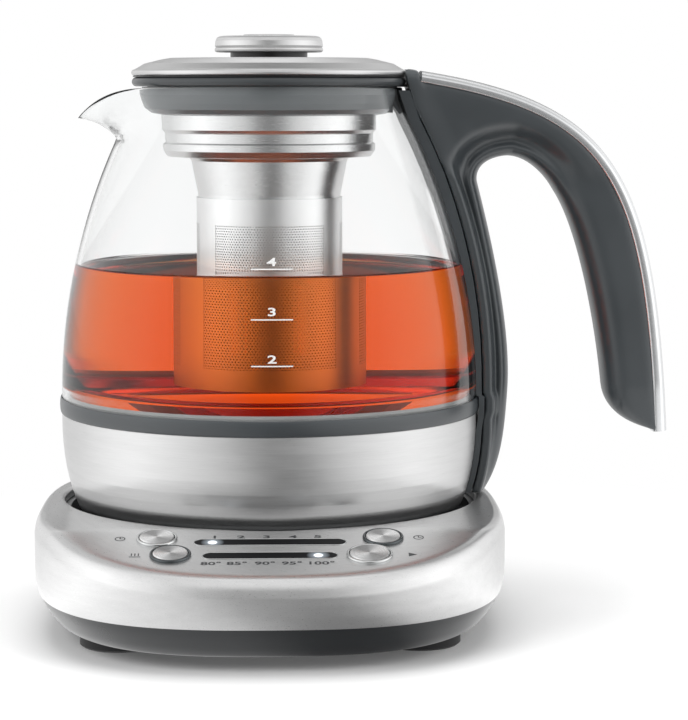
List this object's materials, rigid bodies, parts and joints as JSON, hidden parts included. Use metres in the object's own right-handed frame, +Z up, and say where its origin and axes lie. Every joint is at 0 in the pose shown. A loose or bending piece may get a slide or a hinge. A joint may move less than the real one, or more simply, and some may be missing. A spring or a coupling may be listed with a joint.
{
  "type": "automatic tea maker",
  "caption": "Glass tea jug with lift-out perforated steel basket, steel lid and hooked handle, on a powered base with a sloping panel of four buttons and two light bars.",
  "frame": {"origin": "on the table, under the middle of the whole object seen from above; the jug's axis stands 32.95 mm to the left of it and 20 mm behind it", "axes": "+X to the handle's side, +Y to the rear, +Z up; the control panel faces -Y and the spout -X"},
  "size_m": [0.2419, 0.208, 0.2204],
  "materials": {
    "brushed_steel": "brushed",
    "polished_steel": "polished",
    "perforated_steel": "perforated sheet",
    "spun_steel": "spun",
    "screw_steel": "plain",
    "satin_trim": "satin",
    "bezel_metal": "polished",
    "element_metal": "sheathed",
    "brass": "plain",
    "ceramic": "fired ceramic",
    "jug_glass": "clear",
    "handle_plastic": "satin",
    "ring_plastic": "satin",
    "base_plastic": "satin",
    "well_plastic": "satin",
    "black_plastic": "matt",
    "white_plastic": "matt",
    "smoke_plastic": "clear smoke",
    "window_gloss": "gloss",
    "led_diffuser": "diffuse",
    "circuit_board": "satin",
    "rubber": "matt",
    "silicone": "matt"
  },
  "bodies": {
    "power_base": {"base_shell": "brushed_steel", "base_chassis": "base_plastic", "base_well": "well_plastic", "base_connector": "black_plastic", "connector_contacts": "brass", "panel_carrier": "black_plastic", "control_board": "circuit_board", "tact_switches": "black_plastic", "status_leds": "led_diffuser", "time_window": "window_gloss", "temperature_window": "window_gloss", "button_bezels": "bezel_metal", "power_board": "circuit_board", "power_relay": "black_plastic", "buzzer": "black_plastic", "rubber_feet": "rubber", "base_screws": "screw_steel", "cord_gland": "rubber"},
    "time_key": {"time_button": "spun_steel", "time_stem": "white_plastic"},
    "timer_key": {"timer_button": "spun_steel", "timer_stem": "white_plastic"},
    "warm_key": {"warm_button": "spun_steel", "warm_stem": "white_plastic"},
    "start_key": {"start_button": "spun_steel", "start_stem": "white_plastic"},
    "kettle_coupling": {"kettle_socket": "black_plastic", "kettle_contacts": "brass"},
    "jug": {"glass_jug": "jug_glass", "trim_ring": "handle_plastic", "steel_band": "brushed_steel", "jug_underside": "base_plastic", "heater_plate": "polished_steel", "heater_seal": "silicone", "heating_element": "element_metal", "temperature_sensor": "screw_steel", "thermal_cutouts": "ceramic", "handle_spine": "handle_plastic", "handle_grip": "handle_plastic", "handle_trim": "satin_trim", "handle_clip": "black_plastic", "handle_screws": "screw_steel"},
    "tea_basket": {"basket_ring": "ring_plastic", "basket_collar": "smoke_plastic", "basket_funnel": "polished_steel", "basket_sleeve": "perforated_steel", "basket_floor": "perforated_steel"},
    "lid": {"lid_cap": "brushed_steel", "lid_plug": "smoke_plastic", "lid_gasket": "silicone", "knob_stem": "black_plastic", "knob_cap": "brushed_steel", "knob_screw": "screw_steel"}
  },
  "joints": [
    {"name": "jug_lift", "type": "slide", "parent": "power_base", "child": "kettle_coupling", "axis": [0, 0, 1], "range_m": [0, 0.08]},
    {"name": "jug_turn", "type": "hinge", "parent": "kettle_coupling", "child": "jug", "pos_m": [-0.03295, 0.02, 0.04], "axis": [0, 0, 1], "continuous": true},
    {"name": "basket_lift", "type": "slide", "parent": "jug", "child": "tea_basket", "axis": [0, 0, 1], "range_m": [0, 0.125]},
    {"name": "lid_lift", "type": "slide", "parent": "tea_basket", "child": "lid", "axis": [0, 0, 1], "range_m": [0, 0.04]},
    {"name": "time_press", "type": "slide", "parent": "power_base", "child": "time_key", "axis": [0, 0.2079, -0.9781], "range_m": [0, 0.0008], "stiffness_N_per_m": 700, "springref_m": -0.0006},
    {"name": "timer_press", "type": "slide", "parent": "power_base", "child": "timer_key", "axis": [0, 0.2079, -0.9781], "range_m": [0, 0.0008], "stiffness_N_per_m": 700, "springref_m": -0.0006},
    {"name": "warm_press", "type": "slide", "parent": "power_base", "child": "warm_key", "axis": [0, 0.2079, -0.9781], "range_m": [0, 0.0008], "stiffness_N_per_m": 700, "springref_m": -0.0006},
    {"name": "start_press", "type": "slide", "parent": "power_base", "child": "start_key", "axis": [0, 0.2079, -0.9781], "range_m": [0, 0.0008], "stiffness_N_per_m": 700, "springref_m": -0.0006}
  ]
}
